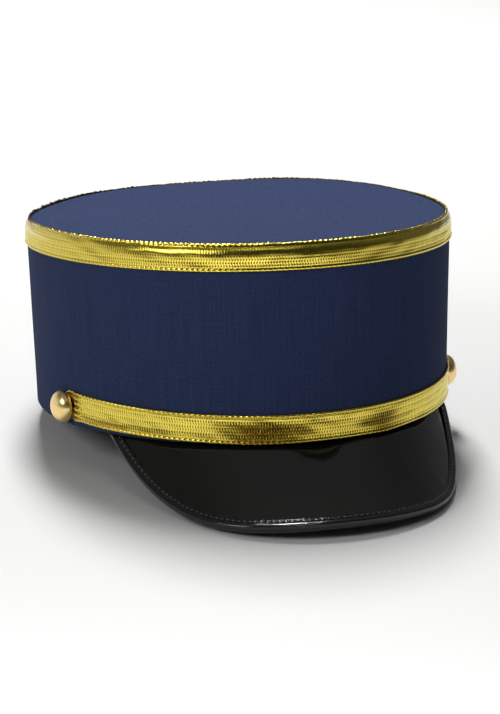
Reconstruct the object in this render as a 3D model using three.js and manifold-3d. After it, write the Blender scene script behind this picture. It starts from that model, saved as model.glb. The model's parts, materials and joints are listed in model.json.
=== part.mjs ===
// Train conductor's hat: a stiff cloth crown with a flat top, gold braid round its top edge and across its
// front, a domed button at each end of the front braid, and a glossy peak with a bound edge.
// Millimetres. The hat is made about its own axis: +Z up the crown, the peak towards -Y, the rim at z = 0.
// It is then tipped back until the rear of the rim and the bound edge of the peak both touch the ground.
import * as THREE from "three";
import { mergeVertices } from "three/addons/utils/BufferGeometryUtils.js";
import Module from "manifold-3d";

const wasm = await Module();
wasm.setup();

// Driving dimensions

const GAP = 0.3; // air left between pieces that are sewn or glued together
const STEPS_ROUND = 72; // facets round the crown

const RIM = { halfWidth: 90.2, halfDepth: 99.3 }; // outside of the cloth at the rim
const CROWN = { height: 83.5, flare: 2.4, wall: 2.5, hemRound: 0.8 };
const TOP = { thickness: 2.5, shoulder: 4.5, shoulderSteps: 3 };
const BRAID = { width: 12, backing: 0.4, ribs: 6, ribRise: 0.3, pointsPerRib: 2, rollOver: 61 };
const FRONT_BRAID = { aboveRim: 0.3, sideLift: 4.5, pastButton: 2.5, steps: 46 };
const BUTTON = { bearing: 76.2, aboveRim: 8, radius: 7, dome: 5.7, edge: 0.7, post: 1.2, postPast: 1.2 };
// Pleats beside a button: where they start and are highest, in degrees short of its middle, how far the
// cords rise there and under the button, and the share of the braid's width that is left under it.
const PLEATS = { start: 9, crest: 5.5, rise: 1.8, pressed: 0.3, pinch: 0.6 };
const PEAK = { thickness: 2.2, sewnIn: 7, bendRadius: 1.4, bendStart: 0.4 };
const PEAK_STEPS = { bend: 3, slope: 4, along: 52 };
const BINDING = { skin: 0.9, overlap: 3.6, tipSteps: 6, runOn: 4 };

// The bound edge of the peak, from the middle to one end: the bearing from the front, how far the edge
// stands out from the rim there, and how far it hangs below the rim.
const PEAK_EDGE = [
  { bearing: 0, reach: 34.2, drop: 28.3 },
  { bearing: 16.3, reach: 31.9, drop: 29.4 },
  { bearing: 31.1, reach: 19.6, drop: 28.3 },
  { bearing: 43.8, reach: 8.5, drop: 19.3 },
  { bearing: 53.1, reach: 1.7, drop: 8.9 },
  { bearing: 58.4, reach: -1.1, drop: 2.4 },
];

const cloth = new THREE.MeshStandardMaterial({ color: "#232c4c", roughness: 0.9 });
const goldBraid = new THREE.MeshStandardMaterial({ color: "#c9ab3a", roughness: 0.35, metalness: 0.9 });
const goldMetal = new THREE.MeshStandardMaterial({ color: "#c8a566", roughness: 0.3, metalness: 1.0 });
const patent = new THREE.MeshStandardMaterial({ color: "#141512", roughness: 0.12 });

// The oval of the rim

const { degToRad: radians, lerp, smoothstep } = THREE.MathUtils;

// Outward direction, level with the ground, where the rim has this bearing from the front.
function rimNormal(bearing) {
  const across = Math.sin(bearing) / RIM.halfWidth;
  const along = -Math.cos(bearing) / RIM.halfDepth;
  return new THREE.Vector3(across, along, 0).normalize();
}

// Point `out` beyond the rim's outside and `up` above the rim.
function fromRim(bearing, out, up) {
  const across = RIM.halfWidth * Math.sin(bearing);
  const along = -RIM.halfDepth * Math.cos(bearing);
  return new THREE.Vector3(across, along, up).addScaledVector(rimNormal(bearing), out);
}

// Point `out` beyond the crown's outside, which leans outwards as it rises.
function fromCrown(bearing, out, up) {
  return fromRim(bearing, out + (CROWN.flare * up) / CROWN.height, up);
}

// Solids from sections

// Triangles that fill a flat outline, turned the same way as the outline goes round.
function fill(outline) {
  const triangles = THREE.ShapeUtils.triangulateShape(outline, []);
  return THREE.ShapeUtils.isClockWise(outline) ? triangles.map(([a, b, c]) => [a, c, b]) : triangles;
}

// Skins a row of sections, each the same number of points going round anticlockwise when seen from the end
// that the row leads to. A row that isn't closed is capped with the two flat outlines in `caps`.
function skin(sections, caps = null) {
  const ringSize = sections[0].length;
  const points = sections.flat();
  const index = [];
  const rows = caps ? sections.length - 1 : sections.length;
  for (let row = 0; row < rows; row++) {
    const here = row * ringSize;
    const next = ((row + 1) % sections.length) * ringSize;
    for (let i = 0; i < ringSize; i++) {
      const j = (i + 1) % ringSize;
      index.push(here + i, here + j, next + j, here + i, next + j, next + i);
    }
  }
  if (caps) {
    const lastRow = (sections.length - 1) * ringSize;
    for (const [a, b, c] of fill(caps.first)) index.push(a, c, b);
    for (const [a, b, c] of fill(caps.last)) index.push(lastRow + a, lastRow + b, lastRow + c);
  }
  const geometry = new THREE.BufferGeometry().setFromPoints(points);
  geometry.setIndex(index);
  return geometry;
}

// A closed ring round the crown with one (out, up) outline all the way.
function crownRing(outline) {
  const sections = [];
  for (let step = 0; step < STEPS_ROUND; step++) {
    const bearing = (-2 * Math.PI * step) / STEPS_ROUND;
    sections.push(outline.map((p) => fromCrown(bearing, p.x, p.y)));
  }
  return skin(sections);
}

function solidOf(geometry) {
  const bare = geometry.clone();
  bare.deleteAttribute("normal");
  bare.deleteAttribute("uv");
  const merged = mergeVertices(bare, 1e-4);
  const mesh = new wasm.Mesh({
    numProp: 3,
    vertProperties: new Float32Array(merged.attributes.position.array),
    triVerts: new Uint32Array(merged.index.array),
  });
  return new wasm.Manifold(mesh);
}

function geometryOf(solid) {
  const mesh = solid.getMesh();
  const geometry = new THREE.BufferGeometry();
  geometry.setAttribute("position", new THREE.BufferAttribute(mesh.vertProperties, mesh.numProp));
  geometry.setIndex(new THREE.BufferAttribute(mesh.triVerts, 1));
  return geometry;
}

function cut(geometry, ...cutters) {
  return geometryOf(cutters.reduce((solid, cutter) => solid.subtract(solidOf(cutter)), solidOf(geometry)));
}

function piece(name, geometry, material) {
  const mesh = new THREE.Mesh(geometry, material);
  mesh.name = name;
  return mesh;
}

// Buttons: a dome on a thin edge, with a post that passes through the front braid and the crown wall

// How far a button's back lies out from the cloth: just clear of the braid that it presses flat.
const BUTTON_SEAT = GAP + BRAID.backing + BRAID.ribRise * PLEATS.pressed + GAP;

// Puts what is made along +Y about the origin at a button's place, with +Y pointing out of the crown.
function placeAtButton(object, side) {
  const bearing = side * radians(BUTTON.bearing);
  object.position.copy(fromCrown(bearing, BUTTON_SEAT, BUTTON.aboveRim));
  object.quaternion.setFromUnitVectors(new THREE.Vector3(0, 1, 0), rimNormal(bearing));
  object.updateMatrix();
  return object;
}

function buttonBody() {
  const postEnd = -(BUTTON_SEAT + CROWN.wall + BUTTON.postPast);
  const profile = [
    new THREE.Vector2(0, postEnd),
    new THREE.Vector2(BUTTON.post, postEnd),
    new THREE.Vector2(BUTTON.post, 0),
    new THREE.Vector2(BUTTON.radius, 0),
  ];
  const domeSteps = 8;
  for (let step = 0; step <= domeSteps; step++) {
    const angle = (Math.PI / 2) * (step / domeSteps);
    const height = BUTTON.edge + (BUTTON.dome - BUTTON.edge) * Math.sin(angle);
    profile.push(new THREE.Vector2(step === domeSteps ? 0 : BUTTON.radius * Math.cos(angle), height));
  }
  return new THREE.LatheGeometry(profile, 24);
}

function postHole(side) {
  const reach = 2 * (BUTTON_SEAT + CROWN.wall + BUTTON.postPast);
  const hole = new THREE.CylinderGeometry(BUTTON.post + GAP, BUTTON.post + GAP, reach, 12);
  return hole.applyMatrix4(placeAtButton(new THREE.Object3D(), side).matrix);
}

// Crown: a wall with a rounded hem, and a flat top resting on it, with one round shoulder over both

// How far out the shoulder lies at a height above the rim.
function shoulderOut(up) {
  const rise = up - (CROWN.height - TOP.shoulder);
  return Math.sqrt(TOP.shoulder ** 2 - rise ** 2) - TOP.shoulder;
}

function crownSide() {
  const round = CROWN.hemRound;
  const wallTop = CROWN.height - TOP.thickness - GAP;
  const outline = [
    new THREE.Vector2(0, CROWN.height - TOP.shoulder),
    new THREE.Vector2(shoulderOut(wallTop), wallTop),
    new THREE.Vector2(-CROWN.wall, wallTop),
    new THREE.Vector2(-CROWN.wall, round),
    new THREE.Vector2(-CROWN.wall + 0.3 * round, 0.3 * round),
    new THREE.Vector2(-CROWN.wall + round, 0),
    new THREE.Vector2(-round, 0),
    new THREE.Vector2(-0.3 * round, 0.3 * round),
    new THREE.Vector2(0, round),
  ];
  return cut(crownRing(outline), postHole(-1), postHole(1));
}

function crownTop() {
  const outlineAt = (out, up) => {
    const points = [];
    for (let step = 0; step < STEPS_ROUND; step++) {
      points.push(fromCrown((2 * Math.PI * step) / STEPS_ROUND, out, up));
    }
    return points;
  };
  const first = Math.asin(1 - TOP.thickness / TOP.shoulder);
  const rings = [];
  for (let step = 0; step <= TOP.shoulderSteps; step++) {
    const angle = lerp(first, Math.PI / 2, step / TOP.shoulderSteps);
    const out = TOP.shoulder * (Math.cos(angle) - 1);
    rings.push(outlineAt(out, CROWN.height - TOP.shoulder * (1 - Math.sin(angle))));
  }
  const plan = (ring) => ring.map((p) => new THREE.Vector2(p.x, p.y));
  return skin(rings, { first: plan(rings[0]), last: plan(rings.at(-1)) });
}

// Braid: a backing strip with a row of cords raised along it

// Outline of the braid's section. `along(share)` gives the place and outward direction of its inner face at
// a share of its width, and `ribRise` is how far its cords stand up.
function braidOutline(along, ribRise, backPoints) {
  const outline = [];
  const frontPoints = BRAID.ribs * BRAID.pointsPerRib;
  for (let i = 0; i <= frontPoints; i++) {
    const { place, outward } = along(i / frontPoints);
    const rise = BRAID.backing + ribRise * Math.abs(Math.sin((Math.PI * i) / BRAID.pointsPerRib));
    outline.push(place.clone().addScaledVector(outward, rise));
  }
  for (let i = backPoints; i >= 0; i--) outline.push(along(i / backPoints).place);
  return outline;
}

// Up the wall, then over the shoulder of the top.
function topBraid() {
  const roll = radians(BRAID.rollOver);
  const rollRadius = TOP.shoulder + GAP;
  const straight = BRAID.width - roll * (rollRadius + BRAID.backing);
  const shoulder = new THREE.Vector2(-TOP.shoulder, CROWN.height - TOP.shoulder);
  const along = (share) => {
    const angle = Math.max(0, (share * BRAID.width - straight) / (BRAID.width - straight)) * roll;
    const outward = new THREE.Vector2(Math.cos(angle), Math.sin(angle));
    const place = shoulder.clone().addScaledVector(outward, rollRadius);
    if (angle === 0) place.y -= straight - share * BRAID.width;
    return { place, outward };
  };
  return crownRing(braidOutline(along, BRAID.ribRise, 6));
}

// Rise of the front braid's cords `aside` degrees short of a button's middle, as a share of their usual rise.
function pleatRise(aside) {
  if (aside > PLEATS.crest) return lerp(PLEATS.rise, 1, smoothstep(aside, PLEATS.crest, PLEATS.start));
  return lerp(PLEATS.pressed, PLEATS.rise, smoothstep(aside, 0, PLEATS.crest));
}

// Straight up the wall, level with the rim in front and a little higher towards the buttons. Its cords rise
// into pleats beside each button, and under the button it is pinched narrow and pressed flat.
function frontBraid() {
  const outward = new THREE.Vector2(1, 0);
  const end = BUTTON.bearing + FRONT_BRAID.pastButton;
  const outlines = [];
  const sections = [];
  for (let step = 0; step <= FRONT_BRAID.steps; step++) {
    const bearing = end * (1 - (2 * step) / FRONT_BRAID.steps);
    const aside = BUTTON.bearing - Math.abs(bearing);
    const pinched = 1 - smoothstep(aside, 0, PLEATS.crest);
    const width = BRAID.width * lerp(1, PLEATS.pinch, pinched);
    const lift = FRONT_BRAID.aboveRim + FRONT_BRAID.sideLift * (1 - Math.cos(radians(bearing)));
    const middle = lerp(lift + BRAID.width / 2, BUTTON.aboveRim, pinched);
    const along = (share) => ({ place: new THREE.Vector2(GAP, middle + (share - 0.5) * width), outward });
    const outline = braidOutline(along, BRAID.ribRise * pleatRise(aside), 1);
    outlines.push(outline);
    sections.push(outline.map((p) => fromCrown(radians(bearing), p.x, p.y)));
  }
  const strip = skin(sections, { first: outlines[0], last: outlines.at(-1) });
  return cut(strip, postHole(-1), postHole(1));
}

// Peak: a bent sheet whose upper edge is sewn inside the crown, with a folded strip bound round its edge

const peakEdge = new THREE.CatmullRomCurve3(
  [...PEAK_EDGE.slice(1).reverse(), ...PEAK_EDGE.map((row) => ({ ...row, bearing: -row.bearing }))].map(
    (row) => new THREE.Vector3(radians(row.bearing), row.reach, -row.drop),
  ),
);

// Middle line of the sheet at one bearing, as (out, up) points with the direction square to the sheet. It
// comes down inside the wall, bends outwards under the rim and runs straight to its edge.
function sheetLine(reach, fall, past) {
  const inside = -(CROWN.wall + GAP + PEAK.thickness / 2);
  const bend = new THREE.Vector2(inside + PEAK.bendRadius, PEAK.bendStart);
  const edge = new THREE.Vector2(reach, fall).sub(bend);
  const turn = Math.atan2(edge.x, -edge.y) + Math.asin(PEAK.bendRadius / edge.length());
  const run = Math.sqrt(edge.lengthSq() - PEAK.bendRadius ** 2) - BINDING.skin - GAP + past;
  const line = [{ place: new THREE.Vector2(inside, PEAK.sewnIn), square: new THREE.Vector2(1, 0) }];
  for (let step = 0; step <= PEAK_STEPS.bend; step++) {
    const angle = turn * (step / PEAK_STEPS.bend);
    const square = new THREE.Vector2(Math.cos(angle), Math.sin(angle));
    line.push({ place: bend.clone().addScaledVector(square, -PEAK.bendRadius), square });
  }
  const { place: start, square } = line.at(-1);
  const down = new THREE.Vector2(square.y, -square.x);
  for (let step = 1; step <= PEAK_STEPS.slope; step++) {
    line.push({ place: start.clone().addScaledVector(down, (run * step) / PEAK_STEPS.slope), square });
  }
  return line;
}

// The sheet with its two faces `half` from its middle and its edge moved out by `past`.
function peakSheet(half, past) {
  const sections = [];
  const outlines = [];
  for (let step = 0; step <= PEAK_STEPS.along; step++) {
    const { x: bearing, y: reach, z: fall } = peakEdge.getPoint(step / PEAK_STEPS.along);
    const line = sheetLine(reach, fall, past);
    const face = (rise) => line.map(({ place, square }) => place.clone().addScaledVector(square, rise));
    const outline = [...face(half).reverse(), ...face(-half)];
    outlines.push(outline);
    sections.push(outline.map((p) => fromRim(bearing, p.x, p.y)));
  }
  return skin(sections, { first: outlines[0], last: outlines.at(-1) });
}

// Place of the sheet's edge in the hat, with the direction square to the sheet there.
function sheetEdge(share) {
  const { x: bearing, y: reach, z: fall } = peakEdge.getPoint(share);
  const { place, square } = sheetLine(reach, fall, 0).at(-1);
  const level = rimNormal(bearing);
  return {
    place: fromRim(bearing, place.x, place.y),
    square: new THREE.Vector3(0, 0, square.y).addScaledVector(level, square.x),
  };
}

// A rounded bar along the peak's edge, run on past both ends, less the room that the sheet takes and less
// all that would stand above the rim.
function peakBinding() {
  const half = PEAK.thickness / 2 + GAP + BINDING.skin;
  const tip = BINDING.skin + GAP;
  const outline = [new THREE.Vector2(BINDING.overlap, -half + BINDING.skin / 2)];
  for (let step = 0; step <= BINDING.tipSteps; step++) {
    const angle = Math.PI * (1.5 - step / BINDING.tipSteps);
    outline.push(new THREE.Vector2(tip * Math.cos(angle), half * Math.sin(angle)));
  }
  outline.push(new THREE.Vector2(BINDING.overlap, half - BINDING.skin / 2));

  const edges = [];
  for (let step = 0; step <= PEAK_STEPS.along; step++) edges.push(sheetEdge(step / PEAK_STEPS.along));
  const runOn = (end, before) => ({
    place: end.place.clone().add(end.place.clone().sub(before.place).setLength(BINDING.runOn)),
    square: end.square,
  });
  edges.unshift(runOn(edges[0], edges[1]));
  edges.push(runOn(edges.at(-1), edges.at(-2)));

  const sections = edges.map(({ place, square }, i) => {
    const before = edges[Math.max(i - 1, 0)].place;
    const after = edges[Math.min(i + 1, edges.length - 1)].place;
    const tangent = after.clone().sub(before).normalize();
    const inward = new THREE.Vector3().crossVectors(tangent, square).normalize();
    const upright = new THREE.Vector3().crossVectors(inward, tangent);
    return outline.map((p) => place.clone().addScaledVector(inward, p.x).addScaledVector(upright, p.y));
  });
  const bar = skin(sections, { first: outline, last: outline });
  const aboveRim = new THREE.BoxGeometry(4 * RIM.halfWidth, 4 * RIM.halfDepth, CROWN.height);
  aboveRim.translate(0, 0, CROWN.height / 2 - GAP);
  return cut(bar, peakSheet(PEAK.thickness / 2 + GAP, GAP), aboveRim);
}

// Assembly

const hat = new THREE.Group();
hat.add(
  piece("crown_side", crownSide(), cloth),
  piece("crown_top", crownTop(), cloth),
  piece("top_braid", topBraid(), goldBraid),
  piece("front_braid", frontBraid(), goldBraid),
  placeAtButton(piece("button_right", buttonBody(), goldMetal), -1),
  placeAtButton(piece("button_left", buttonBody(), goldMetal), 1),
  piece("peak", peakSheet(PEAK.thickness / 2, 0), patent),
  piece("peak_binding", peakBinding(), patent),
);

// Tips the hat back about the wearer's left-right axis until both named pieces are equally low.
function tipBack(group, rear, front) {
  const lowest = (name) => new THREE.Box3().setFromObject(group.getObjectByName(name), true).min.z;
  let [least, most] = [0, Math.PI / 6];
  for (let i = 0; i < 40; i++) {
    group.rotation.x = -(least + most) / 2;
    group.updateMatrixWorld(true);
    if (lowest(front) < lowest(rear)) least = -group.rotation.x;
    else most = -group.rotation.x;
  }
}

tipBack(hat, "crown_side", "peak_binding");
const bounds = new THREE.Box3().setFromObject(hat, true);
hat.position.set(0, -(bounds.min.y + bounds.max.y) / 2, -bounds.min.z);

const conductorHat = new THREE.Group();
conductorHat.add(hat);
export default conductorHat;
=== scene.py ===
import json
import math

import bpy
import numpy as np
from mathutils import Matrix, Vector


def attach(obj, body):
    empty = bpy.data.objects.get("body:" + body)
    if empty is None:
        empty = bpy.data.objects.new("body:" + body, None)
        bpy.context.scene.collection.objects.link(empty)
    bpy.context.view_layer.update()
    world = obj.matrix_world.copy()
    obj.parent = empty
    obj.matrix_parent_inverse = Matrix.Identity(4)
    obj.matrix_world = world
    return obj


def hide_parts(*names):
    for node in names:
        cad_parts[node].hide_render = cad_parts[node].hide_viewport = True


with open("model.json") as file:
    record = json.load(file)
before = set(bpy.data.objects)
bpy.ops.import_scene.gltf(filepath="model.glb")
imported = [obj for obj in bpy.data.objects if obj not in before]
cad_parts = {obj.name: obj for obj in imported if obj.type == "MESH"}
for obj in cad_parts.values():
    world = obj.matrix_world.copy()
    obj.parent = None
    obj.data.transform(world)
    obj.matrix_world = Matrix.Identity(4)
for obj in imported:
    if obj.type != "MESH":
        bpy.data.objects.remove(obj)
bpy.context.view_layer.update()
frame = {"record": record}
scene = bpy.context.scene
scene.view_settings.view_transform = "Standard"

# Hat space: millimetres, origin in the middle of the rim, +Z up the crown, peak towards -Y.
# Bearings run round the hat from the middle of the peak towards +X.
millimetre = 0.001
opening = next(m for m in frame["record"]["mounts"] if m["name"] == "head_opening")
crownAxis = -Vector(opening["axis"])
tipBack = math.atan2(crownAxis.y, crownAxis.z)
hatTurn = Matrix.Rotation(-tipBack, 4, "X")
hatToRow = Matrix.Translation(opening["pos_m"]) @ hatTurn @ Matrix.Scale(millimetre, 4)

rim = {"halfWidth": 90.2, "halfDepth": 99.3}
crown = {"height": 83.5, "flare": 2.4, "wall": 2.5, "top": 2.5}
shoulder = 4.5  # one round over the wall and the top
gap = 0.3  # air between pieces
roundRadius = 95.0  # near enough the crown's, to turn bearings into lengths
rippleWaves = {"count": 9, "sizes": (0.6, 1.7)}
hatUp = np.array([0, 0, 1.0])
# where the crown's upper edge has warped up or down: bearing, width in degrees, millimetres
topWarp = {"from": 30.0, "bumps": [(130.0, 33.0, 2.2), (-128.0, 24.0, -1.3)]}


def smooth(value, low, high):
    t = np.clip((value - low) / (high - low), 0, 1)
    return t * t * (3 - 2 * t)


# Soft bumps round the hat, as rows of bearing, width in degrees and size.
def bumps(degrees, rows):
    away = [(degrees - at + 180) % 360 - 180 for at, _, _ in rows]
    return sum(size * np.exp(-((far / width) ** 2)) for far, (_, width, size) in zip(away, rows))


def rimNormal(bearing):
    n = np.stack([np.sin(bearing) / rim["halfWidth"], -np.cos(bearing) / rim["halfDepth"], 0 * bearing], -1)
    return n / np.linalg.norm(n, axis=-1, keepdims=True)


def fromRim(bearing, out, up):
    bearing, out, up = np.broadcast_arrays(bearing, out, up)
    x, y = rim["halfWidth"] * np.sin(bearing), -rim["halfDepth"] * np.cos(bearing)
    return np.stack([x, y, up], -1) + rimNormal(bearing) * out[..., None]


def fromCrown(bearing, out, up):
    return fromRim(bearing, out + crown["flare"] * np.asarray(up) / crown["height"], up)


# The warp of the upper edge, fading towards the rim and the middle of the top.
def warped(points):
    x, y, z = np.moveaxis(points, -1, 0)
    across, along = x / rim["halfWidth"], -y / rim["halfDepth"]
    degrees = np.degrees(np.arctan2(across, along))
    share = np.minimum(across**2 + along**2, 1) * smooth(z, topWarp["from"], crown["height"])
    return np.stack([x, y, z + share * bumps(degrees, topWarp["bumps"])], -1)


def runLength(points):
    steps = np.linalg.norm(np.diff(points, axis=0), axis=1)
    return np.concatenate([[0.0], np.cumsum(steps)])


# Waves round the hat that stand in for noise, from a fixed seed, so every run gives the same mesh.
def ripple(bearing, up, scale, seed):
    a, b = roundRadius * np.sin(bearing), roundRadius * np.cos(bearing) + up
    draws = np.random.default_rng(seed)
    total = np.zeros(np.broadcast(a, b).shape)
    for _ in range(rippleWaves["count"]):
        heading, phase = draws.uniform(0, 2 * math.pi, 2)
        size = draws.uniform(*rippleWaves["sizes"]) * 2 * math.pi / scale
        total += np.sin(size * (a * math.cos(heading) + b * math.sin(heading)) + phase)
    return total / rippleWaves["count"]


def toRow(points):
    return points @ np.array(hatToRow.to_3x3()).T + np.array(hatToRow.translation)


def addObject(name, data):
    added = bpy.data.objects.new(name, data)
    scene.collection.objects.link(added)
    return added


# A mesh from a grid of sections in hat space, with u along it and v round each section as its texture.
def gridObject(name, grid, u, v, loopAlong=False, loopSection=False, flip=False, caps=False):
    rows, columns = grid.shape[:2]
    i, j = np.meshgrid(
        np.arange(rows if loopAlong else rows - 1),
        np.arange(columns if loopSection else columns - 1),
        indexing="ij",
    )
    i, j = i.ravel(), j.ravel()
    corners = [(i, j), (i + 1, j), (i + 1, j + 1), (i, j + 1)]
    if flip:
        corners.reverse()
    loops = np.stack([(a % rows) * columns + b % columns for a, b in corners], 1)
    uvs = np.stack([np.stack([u[a], v[b]], -1) for a, b in corners], 1).reshape(-1, 2)
    counts = np.full(len(loops), 4)
    loops = loops.ravel()
    if caps:
        first, last = np.arange(columns), (rows - 1) * columns + np.arange(columns)
        first, last = (first[::-1], last) if flip else (first, last[::-1])
        loops = np.concatenate([loops, first, last])
        uvs = np.concatenate([uvs, np.zeros((2 * columns, 2))])
        counts = np.concatenate([counts, [columns, columns]])
    points = toRow(warped(grid).reshape(-1, 3))
    mesh = bpy.data.meshes.new(name)
    mesh.vertices.add(len(points))
    mesh.vertices.foreach_set("co", points.ravel())
    mesh.loops.add(len(loops))
    mesh.loops.foreach_set("vertex_index", loops.astype(np.int32))
    mesh.polygons.add(len(counts))
    starts = np.concatenate([[0], np.cumsum(counts)[:-1]])
    mesh.polygons.foreach_set("loop_start", starts.astype(np.int32))
    mesh.polygons.foreach_set("use_smooth", np.ones(len(counts), bool))
    mesh.uv_layers.new(name="cloth").data.foreach_set("uv", uvs.astype(np.float32).ravel())
    mesh.update(calc_edges=True)
    mesh.validate()
    return addObject(name, mesh)


# Many short closed tubes in one mesh, each an array of rings.
def joinedTubes(name, tubes):
    points, faces = [], []
    for tube in tubes:
        rings, sides = tube.shape[:2]
        base = len(points)
        points.extend(tube.reshape(-1, 3))
        for r in range(rings - 1):
            for k in range(sides):
                a, b = base + r * sides + k, base + r * sides + (k + 1) % sides
                faces.append((a, b, b + sides, a + sides))
        faces.append(tuple(base + k for k in reversed(range(sides))))
        faces.append(tuple(base + (rings - 1) * sides + k for k in range(sides)))
    mesh = bpy.data.meshes.new(name)
    mesh.from_pydata(toRow(np.array(points)).tolist(), [], faces)
    mesh.polygons.foreach_set("use_smooth", np.ones(len(faces), bool))
    return addObject(name, mesh)


def dress(piece, material, node):
    piece.data.materials.append(material)
    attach(piece, "root")
    if node:
        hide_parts(node)


# Materials. The owner of a node is a material or the world.

def newMaterial(name, **values):
    material = bpy.data.materials.new(name)
    material.use_nodes = True
    shader = material.node_tree.nodes["Principled BSDF"]
    for key, value in values.items():
        shader.inputs[key].default_value = value
    return material, shader


def addNode(owner, kind, inputs=None, **settings):
    node = owner.node_tree.nodes.new("ShaderNode" + kind)
    for key, value in settings.items():
        setattr(node, key, value)
    for key, value in (inputs or {}).items():
        if isinstance(value, bpy.types.NodeSocket):
            owner.node_tree.links.new(value, node.inputs[key])
        else:
            node.inputs[key].default_value = value
    return node


def wire(owner, source, target):
    owner.node_tree.links.new(source, target)


def mathNode(owner, operation, *values):
    return addNode(owner, "Math", dict(enumerate(values)), operation=operation).outputs[0]


def noiseNode(owner, place, scale, detail):
    return addNode(owner, "TexNoise", {"Vector": place, "Scale": scale, "Detail": detail}).outputs["Fac"]


def rangeNode(owner, value, source=(0.0, 1.0), target=(0.0, 1.0)):
    ends = {"From Min": source[0], "From Max": source[1], "To Min": target[0], "To Max": target[1]}
    return addNode(owner, "MapRange", {"Value": value, **ends}).outputs[0]


def rampNode(owner, source, stops):
    ramp = addNode(owner, "ValToRGB", {"Fac": source})
    elements = ramp.color_ramp.elements
    while len(elements) < len(stops):
        elements.new(0.5)
    for element, (place, value) in zip(elements, stops):
        element.position = place
        element.color = value if isinstance(value, tuple) else (value, value, value, 1)
    return ramp.outputs["Color"]


def toneRamp(owner, source, settings):
    low, high = settings["tones"]
    return rampNode(owner, source, [(low, settings["dark"]), (high, settings["light"])])


def addBump(material, shader, height, strength, distance):
    bump = addNode(material, "Bump", {"Height": height, "Strength": strength, "Distance": distance})
    wire(material, bump.outputs["Normal"], shader.inputs["Normal"])


waveRepeat = 0.314  # units from band to band of a wave texture at scale 1
navyCloth = {
    "thread": 0.55,  # millimetres from thread to thread
    "uneven": 0.5,
    "dark": (0.0175, 0.0262, 0.0670, 1),
    "light": (0.0283, 0.0419, 0.1030, 1),
    "tones": (0.0, 1.0),
    "rough": 0.9,
    "specular": 0.06,
    "sheen": 0.03,
    "sheenRough": 0.35,
    "sheenTint": (0.85, 0.9, 1.0, 1),
    # thick and thin yarns show as faint streaks, mostly up and down
    "upright": (1.3, 0.03, 1.0),
    "level": (0.05, 1.9, 1.0),
    "levelShare": 0.4,
    "middle": 0.95,  # of weave and streaks added up
    "spread": 0.28,
    "relief": (0.4, 0.00012),  # strength, metres
}
sideSlubs = {"stretch": (0.8, 0.8, 1.0), "weight": 1.0}
topSlubs = {"stretch": (0.7, 0.28, 1.0), "weight": 1.7}  # longer from front to back, and stronger


def clothMaterial(name, slubs):
    s = navyCloth
    material, shader = newMaterial(
        name,
        **{
            "Roughness": s["rough"],
            "Specular IOR Level": s["specular"],
            "Sheen Weight": s["sheen"],
            "Sheen Roughness": s["sheenRough"],
            "Sheen Tint": s["sheenTint"],
        },
    )
    place = addNode(material, "UVMap", uv_map="cloth").outputs["UV"]
    bands = {"Vector": place, "Scale": waveRepeat / s["thread"], "Distortion": s["uneven"], "Detail": 1.0}
    warp = addNode(material, "TexWave", bands, bands_direction="X").outputs["Fac"]
    weft = addNode(material, "TexWave", bands, bands_direction="Y").outputs["Fac"]
    weave = mathNode(material, "MULTIPLY", warp, weft)

    def stretchedNoise(stretch, detail):
        drawn = addNode(material, "Mapping", {"Vector": place, "Scale": stretch}).outputs[0]
        return noiseNode(material, drawn, 1.0, detail)

    level = mathNode(material, "MULTIPLY", stretchedNoise(s["level"], detail=3.0), s["levelShare"])
    streaks = mathNode(material, "ADD", stretchedNoise(s["upright"], detail=3.0), level)
    height = mathNode(material, "ADD", weave, streaks)
    mottle = stretchedNoise(slubs["stretch"], detail=2.0)
    mottled = mathNode(material, "MULTIPLY_ADD", mottle, slubs["weight"], height)
    middle = s["middle"] + 0.5 * slubs["weight"]
    shade = rangeNode(material, mottled, source=(middle - s["spread"], middle + s["spread"]))
    wire(material, toneRamp(material, shade, s), shader.inputs["Base Color"])
    addBump(material, shader, height, *s["relief"])
    return material


goldThread = {
    "dark": (0.77, 0.61, 0.065, 1),
    "light": (0.94, 0.82, 0.125, 1),
    "tones": (0.3, 0.7),
    "strands": 1.6,
    "coreAndShade": (0.30, 0.17, 0.05, 1),  # the gold between threads, darkened by the core yarn and by painted shade
    "coreAndShadeAt": 0.7,
    "coreInShade": (0.05, 0.035, 0.02, 1),  # the same at the bottom of the gaps: near black, mostly painted shade
    "rough": (0.09, 0.2),
    "coreRough": 0.18,  # how much duller the core yarn is
    "film": 0.45,  # clear film over the foil
    "filmRough": 0.1,
    "filmEnd": 0.6,  # how deep in the gaps it ends
    "crinkle": 5.0,
    "relief": (0.3, 0.0001),  # strength, metres
}


def braidMaterial():
    s = goldThread
    material, shader = newMaterial("gold_braid", **{"Metallic": 1.0, "Coat Roughness": s["filmRough"]})
    place = addNode(material, "UVMap", uv_map="cloth").outputs["UV"]
    strands = noiseNode(material, place, s["strands"], detail=3.0)
    gold = toneRamp(material, strands, s)
    coreAndShade = addNode(material, "Attribute", attribute_name="coreAndShade").outputs["Fac"]
    # painted shade: the base colour darkens with the gap value, to near black at the bottom of the gaps,
    # where the core yarn also shows
    stops = [(0.0, (1, 1, 1, 1)), (s["coreAndShadeAt"], s["coreAndShade"]), (1.0, s["coreInShade"])]
    shade = rampNode(material, coreAndShade, stops)
    colour = addNode(material, "VectorMath", {0: gold, 1: shade}, operation="MULTIPLY").outputs[0]
    wire(material, colour, shader.inputs["Base Color"])
    foilRough = rangeNode(material, strands, source=s["tones"], target=s["rough"])
    rough = mathNode(material, "MULTIPLY_ADD", coreAndShade, s["coreRough"], foilRough)
    wire(material, rough, shader.inputs["Roughness"])
    film = rangeNode(material, coreAndShade, source=(0.0, s["filmEnd"]), target=(s["film"], 0.0))
    wire(material, film, shader.inputs["Coat Weight"])
    # flat foil crinkled over the thread inside it
    foil = noiseNode(material, place, s["crinkle"], detail=2.0)
    addBump(material, shader, foil, *s["relief"])
    return material


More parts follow.
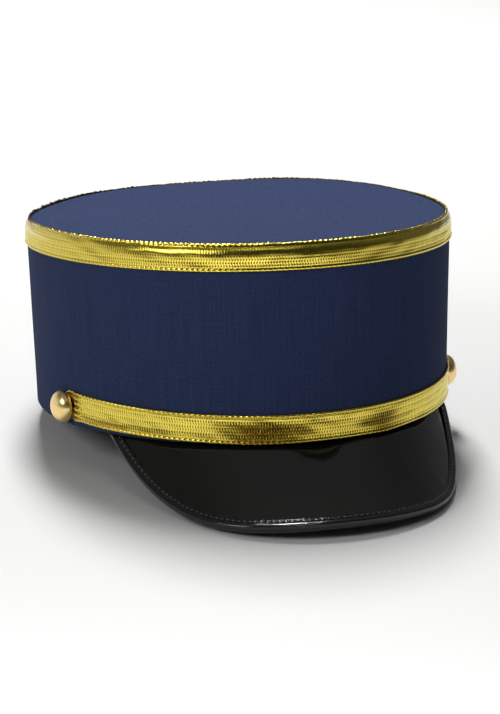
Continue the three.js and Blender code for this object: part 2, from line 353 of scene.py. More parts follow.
satinGold = {
    "dark": (0.92, 0.67, 0.27, 1),
    "light": (0.98, 0.75, 0.35, 1),
    "tones": (0.3, 0.7),
    "smears": 260.0,
    "rough": (0.25, 0.33),
}


def buttonMaterial():
    s = satinGold
    material, shader = newMaterial("button_gold", Metallic=1.0)
    place = addNode(material, "TexCoord").outputs["Object"]
    smear = noiseNode(material, place, s["smears"], detail=3.0)
    wire(material, toneRamp(material, smear, s), shader.inputs["Base Color"])
    wire(material, rangeNode(material, smear, target=s["rough"]), shader.inputs["Roughness"])
    return material


patentVinyl = {"ior": 1.5, "coat": 0.25, "coatRough": 0.03, "dust": 900.0, "dustTones": (0.35, 0.8)}
peakPatent = {"base": (0.0045, 0.0045, 0.0035, 1), "waves": 45.0, "depth": 0.0002, "rough": (0.05, 0.16)}
stripPatent = {"base": (0.0045, 0.0045, 0.004, 1), "waves": 120.0, "depth": 0.0003, "rough": (0.14, 0.24)}


def patentMaterial(name, s):
    material, shader = newMaterial(
        name,
        **{
            "Base Color": s["base"],
            "IOR": patentVinyl["ior"],
            "Coat Weight": patentVinyl["coat"],
            "Coat Roughness": patentVinyl["coatRough"],
        },
    )
    place = addNode(material, "TexCoord").outputs["Object"]
    sag = noiseNode(material, place, s["waves"], detail=2.0)
    addBump(material, shader, sag, 1.0, s["depth"])
    dust = noiseNode(material, place, patentVinyl["dust"], detail=4.0)
    rough = rangeNode(material, dust, source=patentVinyl["dustTones"], target=s["rough"])
    wire(material, rough, shader.inputs["Roughness"])
    return material


sewingThread = {
    "dark": (0.017, 0.017, 0.016, 1),
    "light": (0.036, 0.036, 0.034, 1),
    "tones": (0.3, 0.7),
    "twists": 2500.0,
    "rough": 0.32,
    "specular": 0.6,
}


def threadMaterial():
    s = sewingThread
    looks = {"Roughness": s["rough"], "Specular IOR Level": s["specular"]}
    material, shader = newMaterial("black_thread", **looks)
    place = addNode(material, "TexCoord").outputs["Object"]
    twist = noiseNode(material, place, s["twists"], detail=2.0)
    wire(material, toneRamp(material, twist, s), shader.inputs["Base Color"])
    return material


sideCloth = clothMaterial("crown_side_cloth", sideSlubs)
topCloth = clothMaterial("crown_top_cloth", topSlubs)
goldBraid = braidMaterial()
goldMetal = buttonMaterial()
patent = patentMaterial("peak_patent", peakPatent)
bindingPatent = patentMaterial("binding_patent", stripPatent)
blackThread = threadMaterial()
print("materials ready")

# Crown wall

crownSide = {
    "steps": 288,
    "wallRows": 40,
    "hemRadius": 1.2,
    "hemSteps": 9,
    "hemSwell": 0.05,
    "swellAt": 2.0,  # height of the swell's middle
    "swellWidth": 4.0,
    "sag": 0.12,
    "sagLength": 55,
    "sagSlant": 1.4,  # how much faster the waves change up the wall than round it
    "sagSeed": 3,
}
# where the peak's seam pushes the wall and the braid out: bearing, width in degrees, millimetres
peakSeam = {"height": 10.5, "puckers": [(-16.0, 11.0, 1.5), (19.0, 6.0, 1.2), (0.0, 32.0, 0.25)]}


def seamSwell(bearing, up):
    return bumps(np.degrees(bearing), peakSeam["puckers"]) * smooth(up, peakSeam["height"], 0.0)


def makeCrownSide():
    s = crownSide
    top = crown["height"] - crown["top"] - gap
    bearing = np.linspace(-math.pi, math.pi, s["steps"], endpoint=False)
    rise = np.linspace(s["hemRadius"], top, s["wallRows"])
    over = np.clip(rise - (crown["height"] - shoulder), 0, None)
    outside = np.sqrt(shoulder**2 - over**2) - shoulder
    half = crown["wall"] / 2
    turn = np.linspace(0, math.pi, s["hemSteps"])[1:-1]
    hemOut = -half + half * np.cos(turn)
    hemUp = s["hemRadius"] * (1 - np.sin(turn))
    out = np.concatenate([outside, -crown["wall"] + 0 * rise, hemOut[::-1]])
    up = np.concatenate([rise, rise[::-1], hemUp[::-1]])
    outer = np.concatenate([np.ones(len(rise)), np.zeros(len(out) - len(rise))])
    swell = s["hemSwell"] * np.exp(-(((up - s["swellAt"]) / s["swellWidth"]) ** 2)) * outer
    b, o = np.meshgrid(bearing, out, indexing="ij")
    h = np.broadcast_to(up, b.shape)
    sway = ripple(b, h * s["sagSlant"], s["sagLength"], s["sagSeed"])
    wave = sway * np.sin(np.clip(h / top, 0, 1) * math.pi) * s["sag"] * outer
    grid = fromCrown(b, o + swell + wave + seamSwell(b, h) * (o > -half), h)
    section = np.stack([out, up], -1)
    v = runLength(np.vstack([section, section[:1]]))
    u = roundRadius * np.append(bearing, math.pi)
    piece = gridObject("hat_crown_side", grid, u, v, loopAlong=True, loopSection=True)
    dress(piece, sideCloth, "crown_side")


makeCrownSide()
print("crown wall made")

# Flat top

crownTop = {"steps": 288, "rings": 24, "edgeSteps": 9, "hub": 0.002}  # hub: share left for the middle face


def makeCrownTop():
    s = crownTop
    height = crown["height"]
    bearing = np.linspace(0, 2 * math.pi, s["steps"], endpoint=False)
    turn = np.linspace(math.asin(1 - crown["top"] / shoulder), math.pi / 2, s["edgeSteps"])
    edgeOut = shoulder * (np.cos(turn) - 1)
    edgeUp = height - shoulder * (1 - np.sin(turn))
    share = np.linspace(1, s["hub"], s["rings"])
    under = fromCrown(bearing, edgeOut[0], edgeUp[0])
    rows = [under * np.array([k, k, 1]) for k in share[:0:-1]]
    rows += [fromCrown(bearing, o, h) for o, h in zip(edgeOut, edgeUp)]
    flat = fromCrown(bearing, edgeOut[-1], height)
    rows += [flat * np.array([k, k, 1]) for k in share[1:]]
    grid = np.stack(rows)
    blank = np.zeros(len(rows)), np.zeros(len(bearing) + 1)
    piece = gridObject("hat_crown_top", grid, *blank, loopSection=True, caps=True)
    # the cloth lies flat, so its texture is laid on from above
    places = np.empty(len(piece.data.vertices) * 3)
    piece.data.vertices.foreach_get("co", places)
    index = np.empty(len(piece.data.loops), np.int32)
    piece.data.loops.foreach_get("vertex_index", index)
    plan = places.reshape(-1, 3)[index][:, :2] / millimetre
    piece.data.uv_layers["cloth"].data.foreach_set("uv", plan.astype(np.float32).ravel())
    dress(piece, topCloth, "crown_top")


makeCrownTop()
print("top made")

# Braid: foil threads that lean to and fro from row to row, between two beaded edges

braid = {
    "width": 12.0,
    "backing": 0.3,
    "lift": 0.12,  # air under the braid
    "rows": 9,
    "perRow": 4,
    "lengthSteps": 1441,
    "pitch": 1.15,  # from thread to thread along the braid
    "lean": 0.3,  # how far a thread slants in a row, in pitches
    "threadRise": 0.17,
    "rowDip": 0.015,  # how far a thread sinks where two rows meet
    "holeDip": 0.17,  # how much further the gaps between threads sink there
    "beadRise": 0.5,
    "beadLow": 0.35,  # share of the rise left between beads
    "scallop": 0.3,
    "waviness": 0.17,
    "waveLength": 17,
    "waveSlant": 30,  # how much the waves change over the width
    "backShares": (1, 0.77, 0.54, 0.36, 0.18, 0),
    "backTexture": 1.02,  # where the back's part of the texture starts, in widths
    "backHollow": 0.5,
}
# painted shade between threads, how much more where rows meet, how much there on a thread, and round the
# beads and at their feet
gapShade = {"thread": 0.45, "hole": 0.55, "join": 0.03, "bead": 0.34, "beadFoot": 0.3}


# Bearings at even steps along the braid, as a function of the thread's number.
def threadBearings(first, last, up):
    fine = np.linspace(first, last, braid["lengthSteps"])
    length = runLength(fromCrown(fine, 0.0, up))
    threads = 2 * round(length[-1] / braid["pitch"] / 2)
    return threads, lambda turns: np.interp(turns, length / length[-1] * threads, fine)


# Height of the threads over the backing, how much painted shade each point gets in the gaps, and the edges'
# beads.
def threadRelief(turns, across):
    row = np.clip(np.floor(across), 0, braid["rows"] - 1)
    within = across - row
    thread = np.sqrt(np.clip(1 - (2 * (turns % 1) - 1) ** 2, 0, 1))
    join = np.cos(math.pi * within) ** 4
    inner = braid["threadRise"] * thread - join * (braid["rowDip"] + braid["holeDip"] * (1 - thread))
    innerShade = (1 - thread) * (gapShade["thread"] + gapShade["hole"] * join) + gapShade["join"] * join
    bead = 0.5 + 0.5 * np.cos(math.pi * turns)
    hump = np.sqrt(np.clip(np.sin(math.pi * within), 0, 1))
    outer = braid["beadRise"] * hump * (braid["beadLow"] + (1 - braid["beadLow"]) * bead)
    outerShade = gapShade["bead"] * (1 - bead) + gapShade["beadFoot"] * (1 - hump)
    atEdge = (row == 0) | (row == braid["rows"] - 1)
    return np.where(atEdge, outer, inner), np.where(atEdge, outerShade, innerShade), bead


# Front and back of a braid. `place(bearing, share, rise)` puts a point at a share of the width,
# and `gather` changes the threads and their painted gap shade before that.
def braidObject(name, turns, bearingAt, place, gather, seed, **ends):
    step = turns[1] - turns[0]
    share = np.linspace(0, 1, braid["rows"] * braid["perRow"] + 1)
    t, w = np.meshgrid(turns, share, indexing="ij")
    across = w * braid["rows"]
    relief, coreAndShade, bead = threadRelief(t, across)
    zigzag = np.abs((across + 1) % 2 - 1) - 0.5
    b = bearingAt(t - braid["lean"] * zigzag)
    relief, coreAndShade = gather(b, w, relief, coreAndShade)
    sway = ripple(b, braid["waveSlant"] * w, braid["waveLength"], seed)
    edge = np.where(w == 0, -1, np.where(w == 1, 1, 0)) * bead * braid["scallop"] / braid["width"]
    front = place(b, w + edge, braid["backing"] + relief + braid["waviness"] * (1 + sway))
    back, texture = np.array(braid["backShares"]), braid["backTexture"]
    backTurns, backShare = np.meshgrid(turns, back, indexing="ij")
    rear = place(bearingAt(backTurns), backShare, 0 * backShare)
    grid = np.concatenate([front, rear], 1)
    u = np.append(turns, turns[-1] + step) * braid["pitch"]
    v = np.concatenate([share, back + texture, [2 * texture]]) * braid["width"]
    piece = gridObject(name, grid, u, v, loopSection=True, **ends)
    # painted gap shade with the core yarn, and a fixed value on the back, kept on the points
    depth = np.concatenate([coreAndShade, np.full(rear.shape[:2], braid["backHollow"])], 1)
    layer = piece.data.attributes.new("coreAndShade", "FLOAT", "POINT")
    layer.data.foreach_set("value", np.clip(depth, 0, 1).astype(np.float32).ravel())
    return piece


# Top braid. Pairs of numbers without a note are shares of its width.

topBraid = {
    "seed": 5,
    "perThread": 4,
    "measuredAt": 77.0,  # height on the wall at which its length is counted
    "rollOver": 61,  # degrees over the shoulder
    "trueWidth": 0.58,  # height over the shoulder at which it keeps its width
    "stretch": 0.75,  # how much flatter threads lie where they are pulled over the shoulder
    "tightLessShade": 0.2,  # how much less painted shade the gaps get there
    "pulled": [(0.42, 0.6), (0.9, 0.86)],
    "lip": (0.86, 0.9),  # the free upper edge
    "lipLift": 0.5,  # how far it stands off the shoulder
    "lifted": (0.86, 1.0),
    "crinkle": 0.27,
    "crinkleLength": 4,
    "crinkleSeed": 11,
    "crinkled": (0.82, 0.97),
    "bareEdge": (88.0, 106.0),  # bearings past which the upper edge is pressed flat and painted dark, as painted shade on the rear lip
    # shares of the width painted dark past those bearings: painted shade
    "bare": (0.84, 0.92),
    # at the back the upper edge is pressed flat, but for these loose stretches
    "backPress": 0.9,
    "loose": [(-138.0, 34.0, 1.0), (147.0, 14.0, 0.5)],
    "looseCrinkle": 0.9,
}


# How far the upper edge stands up, at the front and in the loose stretches at the back.
def lipStand(b):
    degrees = np.degrees(b)
    back = smooth(np.abs(degrees), *topBraid["bareEdge"])
    return 1 - back, back * np.minimum(bumps(degrees, topBraid["loose"]), 1)


def makeTopBraid():
    s, width = topBraid, braid["width"]
    roll, radius = math.radians(s["rollOver"]), shoulder + braid["lift"]
    straight = width - roll * (radius + s["trueWidth"])
    threads, bearingAt = threadBearings(-math.pi, math.pi, s["measuredAt"])
    turns = np.arange(threads * s["perThread"]) / s["perThread"]

    def bearingRound(turns):
        return bearingAt(turns % threads)

    def place(b, share, rise):
        angle = np.clip((share * width - straight) / (width - straight), 0, None) * roll
        pull = ripple(b, braid["waveSlant"] * share, s["crinkleLength"], s["crinkleSeed"])
        front, loose = lipStand(b)
        rise = rise + s["lipLift"] * np.maximum(front, loose) * smooth(share, *s["lifted"])
        rise = rise + (s["crinkle"] + s["looseCrinkle"] * loose) * pull * smooth(share, *s["crinkled"])
        out = -shoulder + (radius + rise) * np.cos(angle)
        up = crown["height"] - shoulder + (radius + rise) * np.sin(angle)
        return fromCrown(b, out, up - np.clip(straight - share * width, 0, None))

    def wear(b, share, relief, coreAndShade):
        # painted shade: the rear of the upper edge goes dark, and the painted gap shade is lighter where
        # the threads are pulled tight
        bare = smooth(np.abs(np.degrees(b)), *s["bareEdge"]) * smooth(share, *s["bare"])
        start, end = s["pulled"]
        tight = smooth(share, *start) * smooth(share, *end)
        pressed = s["backPress"] * (1 - np.maximum(*lipStand(b)))
        relief = relief * (1 - s["stretch"] * tight) * (1 - pressed * smooth(share, *s["lip"]))
        return relief, np.maximum(coreAndShade * (1 - s["tightLessShade"] * tight), bare)

    piece = braidObject("hat_top_braid", turns, bearingRound, place, wear, s["seed"], loopAlong=True)
    dress(piece, goldBraid, "top_braid")


makeTopBraid()
print("top braid made")

# Front braid, gathered under a button at each end

button = {
    "bearing": 76.2,
    "aboveRim": 8.0,
    "radius": 7.0,
    "dome": 5.7,
    "edge": 0.7,
    # underside and edge: in from the edge, up from the seat
    "rimProfile": [(1.0, 0.25), (0.45, 0.0), (0.1, 0.1), (0.0, 0.35)],
    "post": 1.2,
    "postTop": 0.35,
    "postPast": 1.2,  # how far the post goes past the wall
    "pressedBraid": 0.49,  # thickness of the braid under the button
    "hub": 0.02,
    "domeSteps": 25,
    "sides": 64,
    "textureStep": 0.5,
}
frontBraid = {
    "seed": 8,
    "perThread": 8,
    "measuredAt": 6.0,  # height on the wall at which its length is counted
    "aboveRim": -0.1,
    "sideLift": 4.9,  # how much higher it runs at the sides
    "pastButton": 2.5,  # degrees past the middle of a button
    "closeFrom": 3.0,  # degrees short of it, where the braid starts to narrow
    "pinch": 0.62,  # share of the width left at the ends
    "seamShade": 0.25,  # painted shade over the threads where the peak's seam bends them
    "seamShadeBand": (0.85, 0.5),  # shares of the width that get the seam's painted shade
    # where the lower edge hangs loose: bearing, width in degrees, millimetres
    "loose": [(-60.0, 11.0, 0.95), (-43.0, 6.0, 0.45)],
    "looseFrom": 0.46,  # share of the width
    "looseShade": 0.3,  # painted shade over the threads there
    "looseShadeBands": [(0.4, 0.2), (0.06, 0.12)],  # shares of the width that get the loose edge's painted shade
    # pleats start, are deepest and are pressed flat at these degrees short of a button's middle
    "pleatStart": 8.4,
    "pleatCrest": 5.4,
    "pleatFlat": 3.8,
    "pleats": 5,
    "pleatRise": 0.9,
    "pleatPress": (0.6, 0.8),  # how much flatter threads lie on the pleats and under the button
    "pleatShade": (0.15, 0.55),  # painted shade on a pleat, and how much more in the creases between them
}


def makeFrontBraid():
    s, width = frontBraid, braid["width"]
    end = math.radians(button["bearing"] + s["pastButton"])
    threads, bearingAt = threadBearings(-end, end, s["measuredAt"])
    turns = np.arange(threads * s["perThread"] + 1) / s["perThread"]

    def gather(b, share, relief, coreAndShade):
        degrees = np.degrees(b)
        aside = button["bearing"] - np.abs(degrees)
        crest = smooth(aside, s["pleatStart"], s["pleatCrest"])
        under = smooth(aside, s["pleatCrest"], s["pleatFlat"])
        fold = 0.5 + 0.5 * np.cos(2 * math.pi * s["pleats"] * share)
        onPleats, underButton = s["pleatPress"]
        relief = relief * (1 - onPleats * crest) * (1 - underButton * under)
        relief = relief + s["pleatRise"] * fold * crest * (1 - under)
        # painted shade where the peak's seam bends the braid and where the lower edge hangs loose
        bent = bumps(degrees, peakSeam["puckers"]) * smooth(share, *s["seamShadeBand"])
        loose = bumps(degrees, s["loose"])
        for bend in s["looseShadeBands"]:
            loose = loose * smooth(share, *bend)
        coreAndShade = coreAndShade + s["seamShade"] * bent + s["looseShade"] * loose
        # painted shade: the pleats are darkened, most in the creases between them
        onFold, between = s["pleatShade"]
        return relief, coreAndShade * (1 - crest) + crest * (onFold + between * (1 - fold))

    def place(b, share, rise):
        degrees = np.degrees(b)
        close = smooth(button["bearing"] - np.abs(degrees), s["closeFrom"], -s["pastButton"])
        lift = s["aboveRim"] + s["sideLift"] * (1 - np.cos(b))
        middle = (lift + width / 2) * (1 - close) + button["aboveRim"] * close
        up = middle + (share - 0.5) * width * (1 - (1 - s["pinch"]) * close)
        flare = bumps(degrees, s["loose"]) * smooth(share, s["looseFrom"], 0.0)
        return fromCrown(b, braid["lift"] + rise + flare * (1 - close) + seamSwell(b, up), up)

    piece = braidObject("hat_front_braid", turns, bearingAt, place, gather, s["seed"], caps=True)
    dress(piece, goldBraid, "front_braid")


makeFrontBraid()
print("front braid made")

# Buttons

buttonSeat = gap + button["pressedBraid"] + gap  # just clear of the pressed braid


def makeButton(name, side, node):
    s = button
    postEnd = -(buttonSeat + crown["wall"] + s["postPast"])
    turn = np.linspace(0, math.pi / 2, s["domeSteps"])
    domeOut = np.maximum(s["radius"] * np.cos(turn), s["hub"])
    domeUp = s["edge"] + (s["dome"] - s["edge"]) * np.sin(turn)
    profile = [(s["hub"], postEnd), (s["post"], postEnd), (s["post"], s["postTop"])]
    profile += [(s["radius"] - back, up) for back, up in s["rimProfile"]]
    profile = np.array(profile + list(zip(domeOut, domeUp)))
    spin = np.linspace(0, 2 * math.pi, s["sides"], endpoint=False)
    bearing = np.array(side * math.radians(s["bearing"]))
    outward = rimNormal(bearing)
    seat = fromCrown(bearing, buttonSeat, s["aboveRim"])
    ring = np.cos(spin)[:, None] * np.cross(outward, hatUp) + np.sin(spin)[:, None] * hatUp
    grid = seat + profile[:, 0][:, None, None] * ring[None] + profile[:, 1][:, None, None] * outward
    u, v = (np.arange(count) * s["textureStep"] for count in (len(profile), s["sides"] + 1))
    piece = gridObject(name, grid, u, v, loopSection=True, flip=True, caps=True)
    dress(piece, goldMetal, node)


makeButton("hat_button_right", -1, "button_right")
makeButton("hat_button_left", 1, "button_left")
print("buttons made")

# Peak

peak = {
    "thickness": 2.2,
    "sewnIn": 7.0,  # how far it goes up behind the wall
    "bendRadius": 1.4,
    "bendStart": 0.4,
    "bendSteps": 8,
    "slopeSteps": 48,
    "along": 220,
    # edge with its binding: bearing, reach out from the rim, drop below it
    "edge": [
        (0, 34.2, 28.3),
        (16.3, 31.9, 29.4),
        (31.1, 19.6, 28.3),
        (43.8, 8.5, 19.3),
        (53.1, 1.7, 8.9),
        (58.4, -1.1, 2.4),
    ],
    "edgeEase": 0.05,
    # the sheet comes out close under the braid, less so from rootFade to rootEnd degrees aside
    "rootRise": 2.0,
    "rootLength": 5.5,
    "rootFade": 24.0,
    "rootEnd": 54.0,
    # and lower and flatter in the middle of the front
    "dip": 0.6,
    "dipLength": 3.5,
    "dipSpread": 8.0,
}
binding = {
    "along": 640,
    "skin": 0.9,
    "overlap": 3.6,
    "runOn": 4.0,  # how far it goes on past the sheet's ends
    "runOnSteps": 8,
    "slotAir": 0.08,  # between the sheet's faces and the strip
    "slotEnd": 0.25,  # in from the sheet's edge
    "edge": 0.72,  # height of the inner edge over the sheet
    "edgeRound": [(0.05, 0.02), (0.0, 0.3), (0.12, 0.56), (0.35, 0.68)],  # back from it, up from the slot
    "shelfStart": 0.6,  # back from the inner edge
    "shelfEnd": 0.3,  # in from the sheet's edge
    "roundSteps": 11,
    "stitch": 2.6,
    "groove": 2.3,  # where the stitches run, in from the sheet's edge
    "grooveWidth": 0.55,
    "grooveFrom": 0.3,  # over the slot, so that only the outside sinks
    "pull": 0.14,  # how much deeper it is under a stitch than in between
    "deepest": 1.25,  # in pulls
    "edgeWave": 0.12,  # how far the inner edge moves from stitch to stitch
    "edgeNear": 0.2,  # what moves with it
}


# A smooth line through the rows, spaced as the solids have it.
def edgeSpline(share):
    rows = np.array([[math.radians(bearing), reach, -drop] for bearing, reach, drop in peak["edge"]])
    knots = np.vstack([rows[:0:-1], rows * [-1, 1, 1]])
    count = len(knots)
    points = np.vstack([2 * knots[0] - knots[1], knots, 2 * knots[-1] - knots[-2]])
    segment = np.minimum((share * (count - 1)).astype(int), count - 2)
    w = (share * (count - 1) - segment)[:, None]
    p0, p1, p2, p3 = (points[segment + k] for k in range(4))
    pairs = (p0, p1), (p1, p2), (p2, p3)
    d0, d1, d2 = (np.sqrt(np.linalg.norm(q - p, axis=1))[:, None] for p, q in pairs)
    t1 = d1 * ((p1 - p0) / d0 - (p2 - p0) / (d0 + d1) + (p2 - p1) / d1)
    t2 = d1 * ((p2 - p1) / d1 - (p3 - p1) / (d1 + d2) + (p3 - p2) / d2)
    return p1 + w * (t1 + w * (-3 * p1 + 3 * p2 - 2 * t1 - t2 + w * (2 * p1 - 2 * p2 + t1 + t2)))


# The same line with its corners eased a little.
def edgeCurve(share):
    reach = np.minimum(peak["edgeEase"], np.minimum(share, 1 - share))
    return 0.5 * edgeSpline(share) + 0.25 * (edgeSpline(share - reach) + edgeSpline(share + reach))


# Middle line of the sheet, one row per bearing: places and square directions as (out, up).
def sheetLines(share, bendSteps, slopeSteps):
    s = peak
    curve = edgeCurve(share)
    bearing, edge = curve[:, 0], curve[:, 1:]
    inside = -(crown["wall"] + gap + s["thickness"] / 2)
    bend = np.array([inside + s["bendRadius"], s["bendStart"]])
    away = edge - bend
    reach = np.linalg.norm(away, axis=1)
    turn = np.arctan2(away[:, 0], -away[:, 1]) + np.arcsin(s["bendRadius"] / reach)
    run = np.sqrt(reach**2 - s["bendRadius"] ** 2) - binding["skin"] - gap
    angle = turn[:, None] * np.linspace(0, 1, bendSteps)
    square = np.stack([np.cos(angle), np.sin(angle)], -1)
    bent = bend - s["bendRadius"] * square
    last = square[:, -1]
    down = np.stack([last[:, 1], -last[:, 0]], -1)
    steps = np.linspace(0, 1, slopeSteps + 1)[1:]
    straight = bent[:, -1][:, None] + (run[:, None] * steps)[..., None] * down[:, None]
    aside = np.abs(np.degrees(bearing))
    middle = np.exp(-((aside / s["dipSpread"]) ** 2))
    root = (s["rootRise"] * (1 - middle) * smooth(aside, s["rootEnd"], s["rootFade"]))[:, None]
    lifted = root * (1 - steps) * smooth(run[:, None] * steps, 0.0, s["rootLength"])
    far = run[:, None] * steps / s["dipLength"]
    lifted = lifted - s["dip"] * middle[:, None] * far * np.exp(1 - far)
    straight = straight + lifted[..., None] * last[:, None]
    top = np.broadcast_to([inside, s["sewnIn"]], (len(share), 1, 2))
    places = np.concatenate([top, bent, straight], 1)
    squares = np.concatenate([square[:, :1], square, np.repeat(last[:, None], slopeSteps, 1)], 1)
    return bearing, places, squares


def makePeak():
    s = peak
    share = np.linspace(0, 1, s["along"] + 1)
    bearing, places, squares = sheetLines(share, s["bendSteps"], s["slopeSteps"])
    topFace = places + s["thickness"] / 2 * squares
    underFace = places - s["thickness"] / 2 * squares
    outline = np.concatenate([topFace[:, ::-1], underFace], 1)
    grid = fromRim(bearing[:, None], outline[..., 0], outline[..., 1])
    u = runLength(grid[:, 0])
    middle = grid[len(grid) // 2]
    v = runLength(np.vstack([middle, middle[:1]]))
    piece = gridObject("hat_peak", grid, u, v, loopSection=True, caps=True, flip=True)
    dress(piece, patent, "peak")


makePeak()
print("peak made")


# Place, frame and run of the sheet's edge, run on past both ends.
def edgeFrames():
    share, extra = np.linspace(0, 1, binding["along"]), binding["runOnSteps"]
    bearing, places, squares = sheetLines(share, bendSteps=2, slopeSteps=1)  # the edge itself is enough
    place = fromRim(bearing, places[:, -1, 0], places[:, -1, 1])
    square = rimNormal(bearing) * squares[:, -1, :1] + hatUp * squares[:, -1, 1:]
    before = (place[0] - place[1]) / np.linalg.norm(place[0] - place[1])
    after = (place[-1] - place[-2]) / np.linalg.norm(place[-1] - place[-2])
    more = np.linspace(binding["runOn"], 0, extra, endpoint=False)[:, None]
    place = np.vstack([place[0] + more * before, place, place[-1] + more[::-1] * after])
    square = np.vstack([np.repeat(square[:1], extra, 0), square, np.repeat(square[-1:], extra, 0)])
    tangent = np.gradient(place, axis=0)
    tangent /= np.linalg.norm(tangent, axis=1, keepdims=True)
    inward = np.cross(tangent, square)
    inward /= np.linalg.norm(inward, axis=1, keepdims=True)
    upright = np.cross(inward, tangent)
    return place, inward, upright, runLength(place)


def makeBinding():
    s = binding
    half = peak["thickness"] / 2 + gap + s["skin"]
    slot = peak["thickness"] / 2 + s["slotAir"]
    lip, tip = s["overlap"], s["skin"] + gap
    place, inward, upright, run = edgeFrames()
    # upper half of the outline from the inner edge to the tip: in from the sheet's edge, up from its middle
    upper = [[lip - back, slot + up] for back, up in s["edgeRound"]]
    shelfEnds = lip - s["shelfStart"], s["shelfEnd"]
    shelf = np.linspace(*shelfEnds, s["roundSteps"])
    shelfUp = slot + s["edge"] + (half - slot - s["edge"]) * smooth(shelf, *shelfEnds)
    turn = np.linspace(math.pi / 2, math.pi, s["roundSteps"])
    tipRound = np.stack([tip * np.cos(turn), half * np.sin(turn)], -1)
    upper = np.vstack([upper, np.stack([shelf, shelfUp], -1), tipRound])
    lower = upper[-2::-1] * [1, -1]
    slotLine = np.array([[s["slotEnd"], -slot], [s["slotEnd"], slot]])
    outline = np.vstack([upper, lower, slotLine])
    x, y = outline[:, 0][None], outline[:, 1][None]
    # each stitch pulls the strip down, and it puffs up a little in between
    beat = 0.5 - 0.5 * np.cos(2 * math.pi * run / s["stitch"])[:, None]
    near = np.exp(-(((x - s["groove"]) / s["grooveWidth"]) ** 2)) * (np.abs(y) > slot + s["grooveFrom"])
    y = y - np.sign(y) * near * s["pull"] * (s["deepest"] - beat)
    x = x + (np.abs(x - lip) < s["edgeNear"]) * s["edgeWave"] * (beat - 0.5)
    grid = place[:, None] + inward[:, None] * x[..., None] + upright[:, None] * y[..., None]
    grid[..., 2] = np.minimum(grid[..., 2], -gap)
    v = runLength(np.vstack([outline, outline[:1]]))
    piece = gridObject("hat_peak_binding", grid, run, v, loopSection=True, caps=True)
    dress(piece, bindingPatent, "peak_binding")


stitches = {
    "first": 3,  # from the sheet's end
    "spare": 4,  # length without stitches, both ends together
    "share": 0.62,  # of the way from stitch to stitch
    "radius": 0.4,
    "ends": 0.02,  # share of the thread's area left there
    "dip": 0.22,  # how far the ends go down
    "above": 0.06,
    "sides": 8,
    "rings": 9,
}


def makeStitches():
    s, pitch = stitches, binding["stitch"]
    place, inward, upright, run = edgeFrames()
    count = int((run[-1] - 2 * binding["runOn"] - s["spare"]) / pitch)
    starts = binding["runOn"] + s["first"] + np.arange(count) * pitch
    angle = np.linspace(0, 2 * math.pi, s["sides"], endpoint=False)[:, None]
    level = peak["thickness"] / 2 + binding["slotAir"] + binding["edge"] + s["above"] - binding["pull"]
    share = np.linspace(0, 1, s["rings"])
    bow = (2 * share - 1) ** 4
    radius = s["radius"] * np.sqrt(np.clip(1 - bow, s["ends"], 1))

    def along(line, at):
        return np.stack([np.interp(at, run, line[:, k]) for k in range(3)], -1)

    tubes = []
    for side in (1, -1):
        for first in starts:
            at = first + share * pitch * s["share"]
            spot, into, over = (along(line, at) for line in (place, inward, upright))
            centre = spot + into * binding["groove"] + over * (side * (level - s["dip"] * bow))[:, None]
            ring = np.cos(angle) * into[:, None] + np.sin(angle) * over[:, None]
            tubes.append(centre[:, None] + radius[:, None, None] * ring)
    piece = joinedTubes("hat_peak_stitches", tubes)
    dress(piece, blackThread, None)


makeBinding()
makeStitches()
print("binding made")

# Camera, at the photograph's angle to the hat

shot = {
    "azimuth": -19.72,
    "elevation": 11.19,
    "roll": -1.22,
    "distance": 1212.1,
    "right": 4.11,
    "up": 17.02,
    "focal": 2700.0,  # in pixels of a picture this high
    "pictureHeight": 714,
    "sensor": 36.0,
    "clip": (0.05, 50),
}


# Direction away from the hat, in degrees round it and degrees up.
def direction(azimuth, elevation):
    a, e = math.radians(azimuth), math.radians(elevation)
    return Vector((math.sin(a) * math.cos(e), -math.cos(a) * math.cos(e), math.sin(e)))


def makeCamera():
    s = shot
    a, r = math.radians(s["azimuth"]), math.radians(s["roll"])
    back = direction(s["azimuth"], s["elevation"])
    level = Vector((math.cos(a), math.sin(a), 0))
    upright = back.cross(level)
    right = math.cos(r) * level + math.sin(r) * upright
    up = math.cos(r) * upright - math.sin(r) * level
    place = s["right"] * right + s["up"] * up + s["distance"] * back
    turn = hatTurn.to_3x3() @ Matrix((right, up, back)).transposed()
    data = bpy.data.cameras.new("camera")
    data.sensor_width = s["sensor"]
    data.lens = s["sensor"] * s["focal"] / s["pictureHeight"]
    data.clip_start, data.clip_end = s["clip"]
    camera = addObject("camera", data)
    camera.matrix_world = Matrix.Translation(hatToRow @ place) @ turn.to_4x4()
    scene.camera = camera


makeCamera()
print("camera set")

# Floor and studio light

studio = {
    "floor": 4.0,  # metres from its middle to its sides
    "paper": (0.58, 0.58, 0.576, 1),
    "rough": 0.9,
    "specular": 0.1,
    "grain": 400.0,
    "grainRelief": (0.05, 0.0005),  # strength, metres
    # light by sine of elevation: in front of the hat, on the other sides and behind on the left
    "frontSky": [(-1.0, 0.1), (0.0, 0.08), (0.1, 0.04), (0.8, 0.04), (0.93, 0.13), (1.0, 0.22)],
    "sideSky": [(-1.0, 0.1), (0.0, 0.12), (0.3, 0.11), (0.7, 0.12), (1.0, 0.22)],
    "backSky": [(-1.0, 0.1), (0.0, 0.85), (0.3, 0.7), (0.55, 0.15), (1.0, 0.22)],
    "frontToSide": (-0.6, 0.0),  # by Y of the direction
    "sideToBack": (0.92, 1.25),  # by Y less X
    "aim": 0.06,  # height that the lamps point at
}
lamps = [
    {
        "name": "back_softbox",
        "azimuth": 170,
        "elevation": 61,
        "distance": 1.8,
        "size": (0.32, 0.9),
        "power": 51,
    },
    {
        "name": "key_softbox",
        "azimuth": -67,
        "elevation": 33,
        "distance": 1.6,
        "size": (0.5, 0.5),
        "power": 7,
    },
]
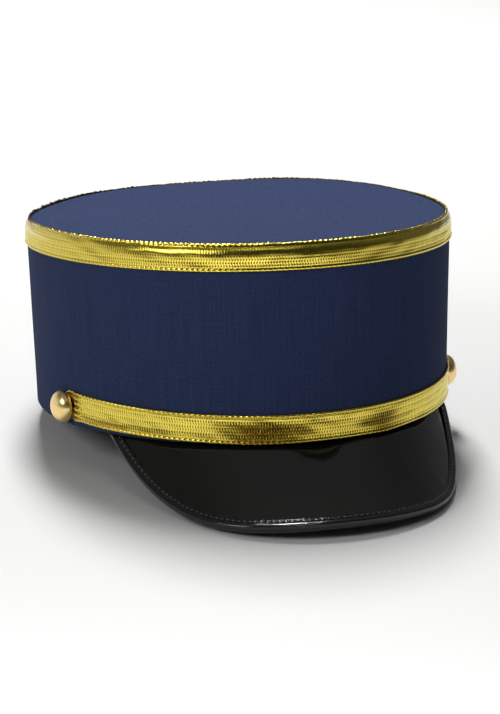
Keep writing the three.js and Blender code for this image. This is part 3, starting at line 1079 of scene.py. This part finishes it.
# shines straight down on the paper in front, so that it lights the front of the hat from below
floorLamp = {"place": (-0.35, -0.9, 1.1), "size": 0.7, "spread": 60, "power": 10.5}


def makeFloor():
    s, size = studio, studio["floor"]
    mesh = bpy.data.meshes.new("floor")
    corners = [(-size, -size, 0), (size, -size, 0), (size, size, 0), (-size, size, 0)]
    mesh.from_pydata(corners, [], [(0, 1, 2, 3)])
    floor = addObject("floor", mesh)
    looks = {"Base Color": s["paper"], "Roughness": s["rough"], "Specular IOR Level": s["specular"]}
    material, shader = newMaterial("floor_paper", **looks)
    grain = addNode(material, "TexNoise", {"Scale": s["grain"], "Detail": 3.0}).outputs["Fac"]
    addBump(material, shader, grain, *s["grainRelief"])
    mesh.materials.append(material)


def makeSky():
    world = bpy.data.worlds.new("studio")
    world.use_nodes = True
    heading = addNode(world, "TexCoord").outputs["Generated"]
    split = addNode(world, "SeparateXYZ", {0: heading}).outputs
    height = rangeNode(world, split["Z"], source=(-1.0, 1.0))

    def sky(name):
        return rampNode(world, height, [((sine + 1) / 2, level) for sine, level in studio[name]])

    # sockets 6, 7 and output 2 of a Mix node are its colours
    def mixed(share, first, second):
        return addNode(world, "Mix", {0: share, 6: first, 7: second}, data_type="RGBA").outputs[2]

    aside = rangeNode(world, split["Y"], source=studio["frontToSide"])
    backLeft = mathNode(world, "SUBTRACT", split["Y"], split["X"])
    behind = rangeNode(world, backLeft, source=studio["sideToBack"])
    light = mixed(behind, mixed(aside, sky("frontSky"), sky("sideSky")), sky("backSky"))
    wire(world, light, world.node_tree.nodes["Background"].inputs["Color"])
    scene.world = world


def makeLamp(name, azimuth, elevation, distance, size, power):
    away = direction(azimuth, elevation)
    data = bpy.data.lights.new(name, "AREA")
    data.shape = "RECTANGLE"
    data.size, data.size_y = size
    data.energy = power
    lamp = addObject(name, data)
    lamp.location = Vector((0, 0, studio["aim"])) + distance * away
    lamp.rotation_euler = away.to_track_quat("Z", "Y").to_euler()


def makeFloorLamp():
    data = bpy.data.lights.new("floor_lamp", "AREA")
    data.size = floorLamp["size"]
    data.spread = math.radians(floorLamp["spread"])
    data.energy = floorLamp["power"]
    addObject("floor_lamp", data).location = floorLamp["place"]


makeFloor()
makeSky()
for lamp in lamps:
    makeLamp(**lamp)
makeFloorLamp()
print("stage ready")
